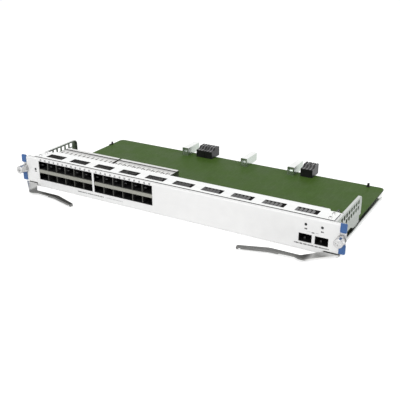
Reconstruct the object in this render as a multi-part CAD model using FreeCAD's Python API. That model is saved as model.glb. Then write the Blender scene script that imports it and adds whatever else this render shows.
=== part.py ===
"""Line card of a network switch: front panel, port cages, ejector levers, captive screws, board and tray.

Millimetres. X runs along the front panel from left to right, Y into the card, Z up. The origin is the
middle of the panel's bottom edge, on its front face. Pieces that come in pairs are made for the right
end and mirrored.
"""

import FreeCAD
import Part
import math
import os

X_AXIS = FreeCAD.Vector(1, 0, 0)
Y_AXIS = FreeCAD.Vector(0, 1, 0)
Z_AXIS = FreeCAD.Vector(0, 0, 1)

# Front panel
panel_width = 422.0
panel_height = 38.0
sheet = 1.2
bend_inside = 0.4
top_return = 5.4
bottom_return = 16.0

# Stacked cages of small pluggable ports
cages = 2
columns = 6
cell_width = 13.6
cage_sheet = 0.3
divider_sheet = 0.6
window_clearance = 0.2
first_window_inset = 20.7
window_bar = 2.7
window_bottom = 10.0
window_top_margin = 2.9
band_bottom = 19.4
band_height = 4.3
band_sheet = 0.5
cage_front = 0.3
cage_rear = 59.5
cage_top_rear = 52.9
rear_lap = 4.6
cell_rear = 46.0
cage_hole_radius = 1.5
cage_hole_y = 43.0
cage_hole_zigzag = 1.0

# Sockets at the back of the port cells
socket_width = 12.6
socket_clearance = 0.4

# Two single uplink ports
uplink_inset = (36.7, 18.65)
uplink_window_width = 14.7
uplink_window_height = 9.6
uplink_window_bottom = 9.6
uplink_rear = 48.0
uplink_socket_depth = 8.8

# Lamps
lamp_radius = 1.6
lamp_z = 30.1
lamp_leg_y = 51.0
lamp_pipe = 2.1
status_inset = 14.6
status_z = 23.0
status_radius = 1.1
status_leg_y = 9.0
status_pipe = 1.4

# Board and tray
board_edge_inset = 7.5
board_front = 2.2
board_rear = 198.0
board_bottom = 5.3
board_thick = 1.6
board_corner = 6.0
tray_edge_inset = 4.5
tray_rear = 176.0
tray_lip_inset = 23.0
tray_flange = 3.6
tray_flange_front = 30.0
tray_step = 1.4
tray_floor_end_y = 26.0
standoff_across = 5.5
standoff_x = (-150.0, 0.0, 150.0)
standoff_y = (76.0, 160.0)

# Side brackets
bracket_inset = 6.0
bracket_edge_gap = 0.3
bracket_rear = 91.5
bracket_corner = 6.0
bracket_rim = 3.0
bracket_bottom = 10.0
bracket_step_y = 86.0
bracket_step_z = 13.4
bracket_low_y = 67.0
bracket_low_z = 5.3
bracket_slope_y = 58.0
slot_size = 5.6
slot_pitch = 8.1
slot_last_y = 80.2
slot_drop = 6.8
slot_row_pitch = 6.8
slot_upper_count = 8
slot_lower_count = 6
tab_width = 14.0
tab_front = 8.0
tab_rear = 30.5
foot_front = 73.0
foot_rear = 80.0
foot_width = 11.0
ear_edge = 0.6
ear_margin = 1.0
ear_bottom = 5.5
ear_rise = 1.8
ear_leg_rear = 19.0

# Vented top shelf
shelf_end_inset = 9.0
shelf_seam = 1.2
shelf_rear = 33.0
shelf_end_rear = 28.4
shelf_step_inset = 11.4
vents = 10
vent_margin = 22.7
vent_shift = -2.6
vent_width = 25.8
vent_front = 11.2
vent_rear = 22.6
slats = 5
slat_pitch = 4.5
slat_run = 2.6
slat_foot = 1.1
slat_thick = 0.5
shelf_screw_inset = 5.7
shelf_screw_y = (11.4, 22.5)
shelf_screw_radius = 2.3
shelf_screw_height = 1.2
shelf_screw_sides = 8

# Gasket under the seam between panel and shelf
gasket_inset = 23.0
gasket_front = 4.2
gasket_rear = 10.0
gasket_thick = 0.8
gasket_rise = 0.5

# Coloured ear covers, captive screws and their ferrules
cover_gap = 0.3
cover_reach = 7.2
cover_proud = 0.6
cover_corner = 0.9
cover_split_below = 5.9
cover_split_above = 7.6
screw_outset = 2.6
screw_z = 22.1
ferrule_radius = 3.8
ferrule_gap = 0.3
ferrule_hex_radius = 3.3
ferrule_flange_radius = 5.4
ferrule_flange = 1.0
ferrule_front = 5.6
ferrule_swage = 0.5
ferrule_bore = 2.3
press_clearance = 0.05
knob_radius = 5.0
knob_length = 6.8
knob_floor = 1.8
knob_cup_radius = 4.3
knob_mouth = 5.0
knob_sides = 20
recess_width = 1.0
recess_length = 5.2
recess_depth = 1.0
shank_radius = 2.0
shank_tip = 7.6
groove_depth = 0.35
clip_clearance = 0.3
clip_thick = 0.8
clip_size = 6.4
clip_fit = 0.05
coil_wire = 0.5
coil_turns = 2.5
coil_sides = 8
coil_radius = 3.3
coil_gap = 0.3
coil_seat = 0.05

# Ejector levers, drawn for the right end in plan
lever_pivot_inset = 6.0
lever_pivot_y = 7.5
lever_bottom = 2.7
lever_sheet = 1.5
lever_hole_radius = 2.05
lever_reach = 93.5
lever_knee = 61.5
lever_elbow = 27.0
lever_corner = 20.5
lever_corner_out = 27.2
lever_toe = 6.0
lever_shoulder = 5.5
lever_grip_rear = 19.9
lever_arm_width = 4.8
lever_knee_width = 6.2
lever_knee_lead = 2.5
lever_tip_width = 4.6
lever_tip_out = 11.1
lever_bend = 20.0
lever_rim = 1.0
lever_rim_thick = 1.2
lever_rim_start = 12.0
lever_rim_stop = 5.0
lever_roll_radius = 1.6
lever_roll_inset = 0.6
heel_x = 8.0
heel_y = 8.0
jaw_x = 8.0
jaw_front = 2.0
jaw_rear = 4.0
jaw_root = 4.2
boss_rear = 6.6
boss_corner = 4.0
boss_taper = 2.2
neck_clearance = 0.8
notch_inset = 16.1
notch_bottom = 2.4
notch_top = 4.9
pin_radius = 2.0
pin_base_radius = 3.6
pin_head_radius = 3.4
pin_head = 0.5
pin_clearance = 0.3

# Rear connectors, guide blocks and small parts on the board
guide_x = (-80.5, 12.6, 81.6)
guide_width = 9.4
guide_front = 182.0
guide_rear = 214.0
guide_height = 11.6
guide_bore = 3.0
guide_bore_depth = 20.0
guide_pocket = 3.0
guide_edge = 0.5
pair_x = (-58.2, -45.4)
pair_width = 12.2
pair_height = 10.4
wide_gap = 7.7
wide_width = 16.8
wide_height = 11.0
connector_front = 186.0
connector_land = 7.5
connector_rear = 208.0
connector_rise = 3.0
rib_count = 3
rib_groove = 1.4
rib_groove_depth = 1.6
mating_slot = 2.2
mating_depth = 8.0
mating_slots = 2
mating_margin = 1.6
post_inset = 20.1
post_rear_inset = 4.4
post_radius = 1.6
post_height = 4.6
edge_clip_y = 166.0
edge_clip_length = 8.0
edge_clip_wall = 0.9
edge_clip_hold = 2.2
edge_finger = 2.0
edge_finger_height = 2.5

# Sizes that follow from the ones above
board_top = board_bottom + board_thick
window_height = panel_height - window_top_margin - window_bottom
window_width = columns * cell_width + (columns - 1) * divider_sheet + 2 * cage_sheet + 2 * window_clearance
cage_width = window_width - 2 * window_clearance
cage_bottom = window_bottom + window_clearance
cage_top = window_bottom + window_height - window_clearance
band_top = band_bottom + band_height
panel_end = panel_width / 2
first_window_x = -panel_end + first_window_inset
cage_x = [first_window_x + i * (window_width + window_bar) + window_width / 2 for i in range(cages)]
uplink_x = [panel_end - inset for inset in uplink_inset]
status_x = -panel_end + status_inset
port_pitch = cell_width + divider_sheet
shelf_bottom = panel_height - sheet
board_half = panel_end - board_edge_inset
post_x = board_half - post_inset
post_y = board_rear - post_rear_inset
wide_x = guide_x[-1] + guide_width / 2 + wide_gap + wide_width / 2
tray_half = panel_end - tray_edge_inset
tray_lip_half = panel_end - tray_lip_inset
bracket_outer_x = panel_end - bracket_inset
shelf_end_x = panel_end - shelf_end_inset
shelf_step_x = shelf_end_x - shelf_step_inset
shelf_screw_x = shelf_end_x - shelf_screw_inset
vent_pitch = (2 * shelf_end_x - vent_margin) / vents
gasket_half_length = panel_end - gasket_inset
cover_inner_x = panel_end + cover_gap
cover_outer_x = panel_end + cover_reach
ear_tip_x = cover_outer_x - ear_edge
ear_top = panel_height + ear_rise
cover_split_low = screw_z - cover_split_below
cover_split_high = screw_z + cover_split_above
slot_upper_z = panel_height - slot_drop
slot_lower_z = slot_upper_z - slot_row_pitch
pivot_x = panel_end - lever_pivot_inset
notch_inner_x = panel_end - notch_inset
lever_top = lever_bottom + lever_sheet
screw_x = panel_end + screw_outset
knob_front = knob_mouth + knob_length
ferrule_rear = 2 * sheet + ferrule_swage
clip_front = ferrule_rear + clip_clearance


def block(x0, x1, y0, y1, z0, z1):
    """A box between two corners."""
    return Part.makeBox(x1 - x0, y1 - y0, z1 - z0, FreeCAD.Vector(x0, y0, z0))


def fuse(shapes):
    """One solid out of several that meet."""
    first = shapes[0]
    rest = shapes[1:]
    return first.fuse(rest).removeSplitter() if rest else first


def rounded_wire(points, radii):
    """A closed outline through the points, each corner rounded by its own radius."""
    count = len(points)
    starts = []
    edges = []
    for i in range(count):
        here = points[i]
        back = (points[i - 1] - here).normalize()
        ahead = (points[(i + 1) % count] - here).normalize()
        if radii[i] == 0:
            starts.append((here, here))
            continue
        half = back.getAngle(ahead) / 2
        reach = radii[i] / math.tan(half)
        middle = here + (back + ahead).normalize() * (radii[i] / math.sin(half) - radii[i])
        start = here + back * reach
        end = here + ahead * reach
        starts.append((start, end))
        edges.append((i, Part.Arc(start, middle, end).toShape()))
    arcs = dict(edges)
    outline = []
    for i in range(count):
        if i in arcs:
            outline.append(arcs[i])
        line_start = starts[i][1]
        line_end = starts[(i + 1) % count][0]
        if (line_end - line_start).Length > 1e-6:
            outline.append(Part.LineSegment(line_start, line_end).toShape())
    return Part.Wire(outline)


def plan_prism(points, radii, z0, z1):
    """A plate with an outline in plan."""
    corners = [FreeCAD.Vector(x, y, z0) for x, y in points]
    return Part.Face(rounded_wire(corners, radii)).extrude(Z_AXIS * (z1 - z0))


def side_prism(points, radii, x0, x1):
    """A bar along X with a section drawn in Y and Z."""
    corners = [FreeCAD.Vector(x0, y, z) for y, z in points]
    return Part.Face(rounded_wire(corners, radii)).extrude(X_AXIS * (x1 - x0))


def front_prism(points, radii, y0, y1):
    """A plate facing forwards with an outline in X and Z."""
    corners = [FreeCAD.Vector(x, y0, z) for x, z in points]
    return Part.Face(rounded_wire(corners, radii)).extrude(Y_AXIS * (y1 - y0))


def rod_y(x, z, radius, y0, y1):
    """A round bar along Y."""
    return Part.makeCylinder(radius, y1 - y0, FreeCAD.Vector(x, y0, z), Y_AXIS)


def rod_z(x, y, radius, z0, z1):
    """A round bar along Z."""
    return Part.makeCylinder(radius, z1 - z0, FreeCAD.Vector(x, y, z0), Z_AXIS)


def regular(x, z, radius, sides):
    """Corners of a regular polygon, the first one level with its middle."""
    angles = [2 * math.pi * i / sides for i in range(sides)]
    return [(x + radius * math.cos(a), z + radius * math.sin(a)) for a in angles]


def hexagon(x, z, radius):
    """Corners of a hexagon, with two of them level with its middle."""
    return regular(x, z, radius, 6)


def turned_y(profile, x, z):
    """A turned part about an axis along Y, from its radii and places along the axis."""
    corners = [FreeCAD.Vector(x + radius, y, z) for radius, y in profile]
    face = Part.Face(Part.makePolygon(corners + [corners[0]]))
    return face.revolve(FreeCAD.Vector(x, 0, z), Y_AXIS, 360)


def mirrored(shape):
    """The left-hand partner of a right-hand piece."""
    return shape.mirror(FreeCAD.Vector(0, 0, 0), X_AXIS)


def save(name, shape):
    """Writes a piece as parts/NAME.step."""
    shape.exportStep(f"parts/{name}.step")


def save_pair(name, shape):
    """Writes a right-hand piece and its left-hand partner."""
    save(f"{name}_right", shape)
    save(f"{name}_left", mirrored(shape))


def front_panel():
    """Folded sheet: the face with its windows, a return along the top and a deeper one along the bottom."""
    outside = sheet + bend_inside
    deep = bottom_return
    shell = side_prism(
        [(0, 0), (deep, 0), (deep, panel_height), (0, panel_height)],
        [outside, 0, 0, outside], -panel_end, panel_end,
    )
    hollow = side_prism(
        [(sheet, sheet), (deep + 1, sheet), (deep + 1, shelf_bottom), (sheet, shelf_bottom)],
        [bend_inside, 0, 0, bend_inside], -panel_end - 1, panel_end + 1,
    )
    cuts = [hollow, block(-panel_end - 1, panel_end + 1, top_return, deep + 1, sheet + 1, panel_height + 1)]
    for x in cage_x:
        half = window_width / 2
        cuts.append(block(x - half, x + half, -1, sheet + 1, window_bottom, window_bottom + window_height))
    for x in uplink_x:
        half = uplink_window_width / 2
        top = uplink_window_bottom + uplink_window_height
        cuts.append(block(x - half, x + half, -1, sheet + 1, uplink_window_bottom, top))
        cuts.append(rod_y(x, lamp_z, lamp_radius, -1, sheet + 1))
    cuts.append(rod_y(status_x, status_z, status_radius, -1, sheet + 1))
    for side in (-1, 1):
        inner, outer = sorted((side * notch_inner_x, side * (panel_end + 1)))
        cuts.append(block(inner, outer, -1, sheet + bend_inside, notch_bottom, notch_top))
        around = (ferrule_radius + ferrule_gap) / math.cos(math.pi / 8)
        cuts.append(front_prism(regular(side * screw_x, screw_z, around, 8), [0] * 8, -1, sheet + 1))
    return shell.cut(cuts)


def vent_shelf():
    """Flat top sheet with ten vents, each crossed by slanted slats; its ends are a little shorter."""
    front = top_return + shelf_seam
    slant = (shelf_rear - shelf_end_rear) / 2
    points = [
        (-shelf_end_x, front), (shelf_end_x, front), (shelf_end_x, shelf_end_rear - slant),
        (shelf_end_x - slant, shelf_end_rear), (shelf_step_x, shelf_end_rear),
        (shelf_step_x - slant, shelf_rear), (slant - shelf_step_x, shelf_rear),
        (-shelf_step_x, shelf_end_rear), (slant - shelf_end_x, shelf_end_rear),
        (-shelf_end_x, shelf_end_rear - slant),
    ]
    plate = plan_prism(points, [0] * len(points), shelf_bottom, panel_height)
    windows = []
    louvres = []
    for group in range(vents):
        left = vent_shift + (group - (vents - 1) / 2) * vent_pitch - vent_width / 2
        right = left + vent_width
        windows.append(block(left, right, vent_front, vent_rear, shelf_bottom - 1, panel_height + 1))
        for slat in range(slats):
            x = left + slat * slat_pitch
            section = [
                (x, panel_height), (x + slat_run, shelf_bottom), (x + slat_run - slat_foot, shelf_bottom),
                (x, panel_height - slat_thick),
            ]
            louvres.append(front_prism(section, [0] * 4, vent_front, vent_rear))
    return fuse([plate.cut(windows)] + louvres)


def shelf_screws():
    """Heads of the four screws that hold the shelf to the bracket tabs."""
    screws = []
    for side in (-1, 1):
        for y in shelf_screw_y:
            rim = regular(side * shelf_screw_x, y, shelf_screw_radius, shelf_screw_sides)
            screws.append(plan_prism(rim, [0] * len(rim), panel_height, panel_height + shelf_screw_height))
    return Part.makeCompound(screws)


def seam_gasket():
    """Conductive strip under the seam, with a low rib that rises into it."""
    strip = block(
        -gasket_half_length, gasket_half_length, gasket_front, gasket_rear,
        shelf_bottom - gasket_thick, shelf_bottom,
    )
    rib = block(
        -gasket_half_length, gasket_half_length, top_return, top_return + shelf_seam,
        shelf_bottom - gasket_thick, shelf_bottom + gasket_rise,
    )
    return fuse([strip, rib])


def bracket_holes():
    """Two rows of square holes through the side plate."""
    half = slot_size / 2
    inner = bracket_outer_x - bracket_rim - 1
    holes = []
    for z, count in ((slot_upper_z, slot_upper_count), (slot_lower_z, slot_lower_count)):
        for i in range(count):
            y = slot_last_y - i * slot_pitch
            holes.append(block(inner, bracket_outer_x + 1, y - half, y + half, z - half, z + half))
    return holes


def side_plate():
    """Side plate with a narrow inward rim along its top and rear, and a foot folded onto the tray."""
    inner = bracket_outer_x - sheet
    front = 2 * sheet + 1
    outline = [
        (front, bracket_bottom), (bracket_slope_y, bracket_bottom), (bracket_low_y, bracket_low_z),
        (bracket_step_y, bracket_low_z), (bracket_step_y, bracket_step_z), (bracket_rear, bracket_step_z),
        (bracket_rear, shelf_bottom), (front, shelf_bottom),
    ]
    corner = bracket_corner
    pan = side_prism(outline, [0, 0, 0, 0, 0, 0, corner, 0], bracket_outer_x - bracket_rim, bracket_outer_x)
    start = tab_rear + shelf_seam
    inside = [
        (front - 1, 0), (bracket_rear - sheet, 0), (bracket_rear - sheet, shelf_bottom - sheet),
        (start, shelf_bottom - sheet), (start, panel_height + 1), (front - 1, panel_height + 1),
    ]
    hollow = side_prism(inside, [0, 0, corner - sheet, 0, 0, 0], bracket_outer_x - bracket_rim - 1, inner)
    tongue = block(inner, bracket_outer_x, foot_front, foot_rear, sheet, bracket_low_z)
    foot = block(bracket_outer_x - foot_width, bracket_outer_x, foot_front, foot_rear, sheet, 2 * sheet)
    return fuse([pan.cut(hollow), tongue, foot]).cut(bracket_holes())


def ear_bracket():
    """Corner bracket inside the side plate: a leg, the ear behind the panel, and a tab under the shelf."""
    outer = bracket_outer_x - sheet
    inner = outer - sheet
    plan = [
        (inner, sheet), (ear_tip_x, sheet), (ear_tip_x, 2 * sheet), (outer, 2 * sheet),
        (outer, ear_leg_rear),
        (inner, ear_leg_rear),
    ]
    tab_bottom = shelf_bottom - sheet
    fold = plan_prism(plan, [sheet + bend_inside, 0, 0, bend_inside, 0, 0], bracket_bottom, tab_bottom)
    ear = block(bracket_outer_x, ear_tip_x, sheet, 2 * sheet, ear_bottom + ear_margin, tab_bottom)
    tip = block(cover_inner_x, ear_tip_x, sheet, 2 * sheet, tab_bottom, ear_top - ear_margin)
    tab = block(bracket_outer_x - tab_width, outer, tab_front, tab_rear, tab_bottom, shelf_bottom)
    hole = front_prism(hexagon(screw_x, screw_z, ferrule_hex_radius), [0] * 6, 0, 3 * sheet)
    return fuse([fold, ear, tip, tab]).cut(hole)


def ear_cover(bottom, top):
    """Coloured moulded cover on the front of the ear, one under the captive screw and one above it."""
    cut = cover_corner
    outline = [
        (cover_inner_x, bottom), (cover_outer_x - cut, bottom), (cover_outer_x, bottom + cut),
        (cover_outer_x, top - cut), (cover_outer_x - cut, top), (cover_inner_x, top),
    ]
    return front_prism(outline, [0] * len(outline), -cover_proud, sheet)


def ferrule():
    """Bush pressed into the ear by its hexagonal rear, with a flange and a round barrel for the knob."""
    flange_front = -cover_proud - ferrule_flange
    profile = [
        (0, -ferrule_front), (ferrule_radius, -ferrule_front), (ferrule_radius, flange_front),
        (ferrule_flange_radius, flange_front), (ferrule_flange_radius, -cover_proud),
        (ferrule_radius, -cover_proud),
        (ferrule_radius, sheet), (0, sheet),
    ]
    pressed = hexagon(screw_x, screw_z, ferrule_hex_radius - press_clearance)
    bush = fuse([turned_y(profile, screw_x, screw_z), front_prism(pressed, [0] * 6, 0, ferrule_rear)])
    return bush.cut(rod_y(screw_x, screw_z, ferrule_bore, -ferrule_front - 1, ferrule_rear + 1))


def thumbscrew():
    """Captive screw: a hollow knob with twenty flats, and a shank with a groove for its retaining clip."""
    groove = shank_radius - groove_depth
    groove_front = clip_front - clip_clearance / 2
    groove_rear = clip_front + clip_thick + clip_clearance / 2
    rim = regular(screw_x, screw_z, knob_radius, knob_sides)
    wall = regular(screw_x, screw_z, knob_cup_radius, knob_sides)
    knob = front_prism(rim, [0] * knob_sides, -knob_front, -knob_mouth)
    cup = front_prism(wall, [0] * knob_sides, -knob_front + knob_floor, -knob_mouth + 1)
    neck = -knob_front + knob_floor - 0.5
    profile = [
        (0, neck), (shank_radius, neck), (shank_radius, groove_front), (groove, groove_front),
        (groove, groove_rear), (shank_radius, groove_rear), (shank_radius, shank_tip), (0, shank_tip),
    ]
    half = recess_length / 2
    width = recess_width / 2
    bottom = -knob_front + recess_depth
    cross = [
        block(screw_x - half, screw_x + half, -knob_front - 1, bottom, screw_z - width, screw_z + width),
        block(screw_x - width, screw_x + width, -knob_front - 1, bottom, screw_z - half, screw_z + half),
    ]
    return fuse([knob.cut([cup] + cross), turned_y(profile, screw_x, screw_z)])


def screw_clip():
    """Flat horseshoe clip in the shank's groove that keeps the screw in its ferrule."""
    edge = clip_size / 2
    cut = edge / 2
    bore = shank_radius - groove_depth + clip_fit
    bevel = bore * math.tan(math.radians(22.5))
    shape = [
        (edge, -edge), (edge, cut), (cut, edge), (-cut, edge), (-edge, cut), (-edge, -edge),
        (-bore, -edge), (-bore, bevel), (-bevel, bore), (bevel, bore), (bore, bevel), (bore, -edge),
    ]
    points = [(screw_x + across, screw_z + up) for across, up in shape]
    return front_prism(points, [0] * len(points), clip_front, clip_front + clip_thick)


def screw_spring():
    """Coil of square wire between the ferrule and the bottom of the knob's cup."""
    half = coil_wire / 2
    start = -knob_front + knob_floor + coil_gap + half
    length = -ferrule_front - coil_seat - half - start
    steps = round(coil_turns * coil_sides)
    path = []
    for i in range(steps + 1):
        angle = 2 * math.pi * i / coil_sides
        across = coil_radius * math.cos(angle)
        up = coil_radius * math.sin(angle)
        path.append(FreeCAD.Vector(screw_x + across, start + length * i / steps, screw_z + up))
    corners = [(-half, -half), (half, -half), (half, half), (-half, half)]
    section = Part.makePolygon([path[0] + X_AXIS * a + Y_AXIS * b for a, b in corners + corners[:1]])
    return Part.makePolygon(path).makePipeShell([section], True, False, 1)


def lever_outline():
    """Plan of the right lever: boss, ejecting heel and jaw, slanted root, and cranked grip."""
    rear = lever_pivot_y + boss_rear - 1.0
    grip_rear = -lever_grip_rear
    knee_x = pivot_x - lever_knee
    tip_x = pivot_x - lever_reach
    tip_rear = grip_rear - lever_tip_out
    slant = math.atan2(lever_tip_out, lever_reach - lever_knee)
    tip_front_x = tip_x + lever_tip_width * math.sin(slant)
    tip_front = tip_rear - lever_tip_width * math.cos(slant)
    corner_x = pivot_x - lever_corner
    toe_x = corner_x - lever_toe
    heel = pivot_x + heel_x
    heel_rear = lever_pivot_y - heel_y
    jaw = pivot_x + jaw_x
    root = pivot_x + jaw_root
    neck = notch_inner_x + neck_clearance
    points = [
        (heel, heel_rear), (corner_x, -lever_corner_out), (toe_x, -lever_corner_out),
        (toe_x - lever_shoulder, grip_rear - lever_arm_width),
        (knee_x + lever_knee_lead, grip_rear - lever_knee_width), (tip_front_x, tip_front),
        (tip_x, tip_rear), (knee_x, grip_rear), (pivot_x - lever_elbow, grip_rear), (neck, heel_rear),
        (neck + boss_taper, rear),
        (root + boss_taper, rear), (jaw, lever_pivot_y + jaw_rear), (jaw, lever_pivot_y - jaw_front),
        (root, lever_pivot_y - jaw_front), (root, heel_rear),
    ]
    bend = boss_corner
    radii = [0, bend / 2, bend / 2, bend, lever_bend, 0, 0, lever_bend, bend, 0, bend, 0, 0, 0, 0, 0]
    return points, radii


def lever():
    """Ejector lever pressed from sheet, with a rim turned down along the grip's front and a rolled tip."""
    points, radii = lever_outline()
    plate = plan_prism(points, radii, lever_bottom, lever_top)
    rim = plan_prism(points, radii, lever_bottom - lever_rim, lever_bottom)
    inside = plan_prism(points, radii, lever_bottom - lever_rim - 1, lever_bottom + 1)
    inside.translate(Y_AXIS * lever_rim_thick)
    grip = block(
        pivot_x - lever_reach + lever_rim_stop, pivot_x - lever_knee + lever_rim_start,
        -3 * lever_grip_rear, -lever_grip_rear, 0, lever_top,
    )
    rim = rim.cut(inside).common(grip)
    (front_x, front_y), (rear_x, rear_y) = points[5:7]
    start = FreeCAD.Vector(rear_x, rear_y, lever_top - lever_roll_radius)
    end = FreeCAD.Vector(front_x, front_y, lever_top - lever_roll_radius)
    along = (end - start).normalize()
    length = (end - start).Length - 2 * lever_roll_inset
    roll = Part.makeCylinder(lever_roll_radius, length, start + along * lever_roll_inset, along)
    hole = rod_z(pivot_x, lever_pivot_y, lever_hole_radius, 0, lever_top + 1)
    return fuse([plate, rim, roll]).cut(hole)


def lever_pin():
    """Pivot on the panel's bottom return: round journal for the lever between a hexagonal base and head."""
    head_bottom = lever_top + pin_clearance
    base_top = lever_bottom - pin_clearance
    base = plan_prism(hexagon(pivot_x, lever_pivot_y, pin_base_radius), [0] * 6, sheet, base_top)
    journal = rod_z(pivot_x, lever_pivot_y, pin_radius, base_top, head_bottom)
    cap = hexagon(pivot_x, lever_pivot_y, pin_head_radius)
    head = plan_prism(cap, [0] * 6, head_bottom, head_bottom + pin_head)
    return fuse([base, journal, head])


def standoff_places():
    """Middle of each board standoff in plan."""
    return [(x, y) for x in standoff_x for y in standoff_y]


def bottom_tray():
    """Shallow tray: front lip stepped up onto the panel's return, floor, and low side flanges."""
    lip_front = board_front
    lip_rear = bottom_return + 0.3
    floor_front = lip_rear + tray_step
    section = [
        (lip_front, sheet), (lip_rear, sheet), (floor_front, 0), (tray_rear, 0),
        (tray_rear, sheet), (floor_front + 0.4, sheet), (lip_rear + 0.4, 2 * sheet), (lip_front, 2 * sheet),
    ]
    middle = side_prism(section, [0] * len(section), -tray_lip_half, tray_lip_half)
    half = tray_half
    floor = block(-half, half, tray_floor_end_y, tray_rear, 0, sheet)
    flanges = [
        block(-half, -half + sheet, tray_flange_front, tray_rear, 0, tray_flange),
        block(half - sheet, half, tray_flange_front, tray_rear, 0, tray_flange),
    ]
    tray = fuse([middle, floor] + flanges)
    radius = standoff_across / math.sqrt(3)
    holes = [plan_prism(hexagon(x, y, radius), [0] * 6, -1, sheet + 1) for x, y in standoff_places()]
    return tray.cut(holes)


def board_standoffs():
    """Hexagonal spacers pressed through the tray, flush underneath, with the board on their tops."""
    radius = standoff_across / math.sqrt(3) - press_clearance
    return Part.makeCompound([
        plan_prism(hexagon(x, y, radius), [0] * 6, 0, board_bottom) for x, y in standoff_places()
    ])


def main_board():
    """Bare circuit board with rounded rear corners."""
    half = board_half
    points = [(-half, board_front), (half, board_front), (half, board_rear), (-half, board_rear)]
    return plan_prism(points, [0, 0, board_corner, board_corner], board_bottom, board_top)


def port_cage(x):
    """Outer sheet of a stacked cage: perforated top, and two longer sides that stand on the board."""
    half = cage_width / 2
    inner = half - cage_sheet
    shell = block(x - half, x + half, cage_front, cage_rear, board_top, cage_top)
    cuts = [
        block(x - inner, x + inner, cage_front - 1, cage_rear + 1, board_top - 1, cage_top - cage_sheet),
        block(
            x - half - 1, x + half + 1, cage_front - 1, sheet + window_clearance, board_top - 1, cage_bottom,
        ),
        block(x - inner, x + inner, cage_top_rear, cage_rear + 1, cage_top - 1, cage_top + 1),
    ]
    for i in range(2 * columns):
        hole_x = x + (i - columns + 0.5) * port_pitch / 2
        hole_y = cage_hole_y + (cage_hole_zigzag if i % 2 else -cage_hole_zigzag)
        hole = regular(hole_x, hole_y, cage_hole_radius, 4)
        cuts.append(plan_prism(hole, [0] * 4, cage_top - 1, cage_top + 1))
    return shell.cut(cuts)


def cage_rear_cover(x):
    """Rear wall of a cage, folded forwards over its top."""
    half = cage_width / 2
    top = cage_top + cage_sheet
    wall = block(x - half, x + half, cage_rear, cage_rear + cage_sheet, board_top, top)
    lap = block(x - half, x + half, cage_rear - rear_lap, cage_rear + cage_sheet, cage_top, top)
    return fuse([wall, lap])


def cage_base(x):
    """Floor sheet under the lower row of ports."""
    inner = cage_width / 2 - cage_sheet
    return block(x - inner, x + inner, cage_front, cell_rear, cage_bottom, cage_bottom + cage_sheet)


def row_separator(x):
    """Folded channel between the two rows, whose front is the band seen between the ports."""
    inner = cage_width / 2 - cage_sheet
    outside = [
        (cage_front, band_bottom), (cell_rear, band_bottom), (cell_rear, band_top), (cage_front, band_top),
    ]
    bar = side_prism(outside, [0] * 4, x - inner, x + inner)
    hollow = block(
        x - inner - 1, x + inner + 1, cage_front + band_sheet, cell_rear + 1,
        band_bottom + band_sheet, band_top - band_sheet,
    )
    return bar.cut(hollow)


def cage_dividers(x):
    """Upright walls between the ports, one set under the band and one above it."""
    walls = []
    for i in range(1, columns):
        left = x - cage_width / 2 + cage_sheet + i * port_pitch - divider_sheet
        right = left + divider_sheet
        walls.append(block(left, right, cage_front, cell_rear, cage_bottom + cage_sheet, band_bottom))
        walls.append(block(left, right, cage_front, cell_rear, band_top, cage_top - cage_sheet))
    return Part.makeCompound(walls)


def host_sockets(x):
    """Stacked sockets behind the ports, one for each column."""
    sockets = []
    half = socket_width / 2
    for i in range(columns):
        middle = x + (i - (columns - 1) / 2) * port_pitch
        sockets.append(block(
            middle - half, middle + half, cell_rear + socket_clearance, cage_rear - socket_clearance,
            board_top, cage_top - cage_sheet - socket_clearance,
        ))
    return Part.makeCompound(sockets)


def uplink_cage(x):
    """Single port cage: a folded tube that passes through its window and stands on the board."""
    half = uplink_window_width / 2 - window_clearance
    bottom = uplink_window_bottom + window_clearance
    top = uplink_window_bottom + uplink_window_height - window_clearance
    inner = half - cage_sheet
    inner_rear = uplink_rear - cage_sheet
    body = block(x - half, x + half, cage_front, uplink_rear, board_top, top)
    socket_front = inner_rear - uplink_socket_depth - 2 * socket_clearance
    cuts = [
        block(x - inner, x + inner, cage_front - 1, inner_rear, bottom + cage_sheet, top - cage_sheet),
        block(x - half - 1, x + half + 1, cage_front - 1, sheet + window_clearance, board_top - 1, bottom),
        block(x - inner, x + inner, cage_front - 1, inner_rear, board_top - 1, bottom),
        block(x - inner, x + inner, socket_front, inner_rear, board_top - 1, top - cage_sheet),
    ]
    return body.cut(cuts)


def uplink_sockets():
    """Sockets at the back of the two single ports."""
    top = uplink_window_bottom + uplink_window_height - window_clearance - cage_sheet - socket_clearance
    rear = uplink_rear - cage_sheet - socket_clearance
    half = socket_width / 2
    return Part.makeCompound([
        block(x - half, x + half, rear - uplink_socket_depth, rear, board_top, top) for x in uplink_x
    ])


def light_pipe(x, z, size, leg_y):
    """Clear rod of square section from a lamp on the board to its hole in the panel."""
    half = size / 2
    path = [
        (0.1, z - half), (leg_y - half, z - half), (leg_y - half, board_top), (leg_y + half, board_top),
        (leg_y + half, z), (leg_y, z + half), (0.1, z + half),
    ]
    return side_prism(path, [0] * len(path), x - half, x + half)


def light_pipes():
    """The status pipe at the left and one above each uplink port."""
    pipes = [light_pipe(status_x, status_z, status_pipe, status_leg_y)]
    for x in uplink_x:
        pipes.append(light_pipe(x, lamp_z, lamp_pipe, lamp_leg_y))
    return Part.makeCompound(pipes)


def guide_block(x):
    """Cast alignment block that reaches past the board, with a bore for the guide pin in its rear end."""
    half = guide_width / 2
    top = board_top + guide_height
    middle = board_top + guide_height / 2
    edge = guide_edge
    section = [
        (x - half, board_top), (x + half, board_top), (x + half, top - edge), (x + half - edge, top),
        (x - half + edge, top), (x - half, top - edge),
    ]
    body = front_prism(section, [0] * 6, guide_front, guide_rear)
    bore = rod_y(x, middle, guide_bore, guide_rear - guide_bore_depth, guide_rear + 1)
    pocket = block(
        x - guide_pocket, x + guide_pocket, guide_front - 1, guide_front + guide_pocket,
        middle, top - 2 * edge - 1,
    )
    return body.cut([bore, pocket])


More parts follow.
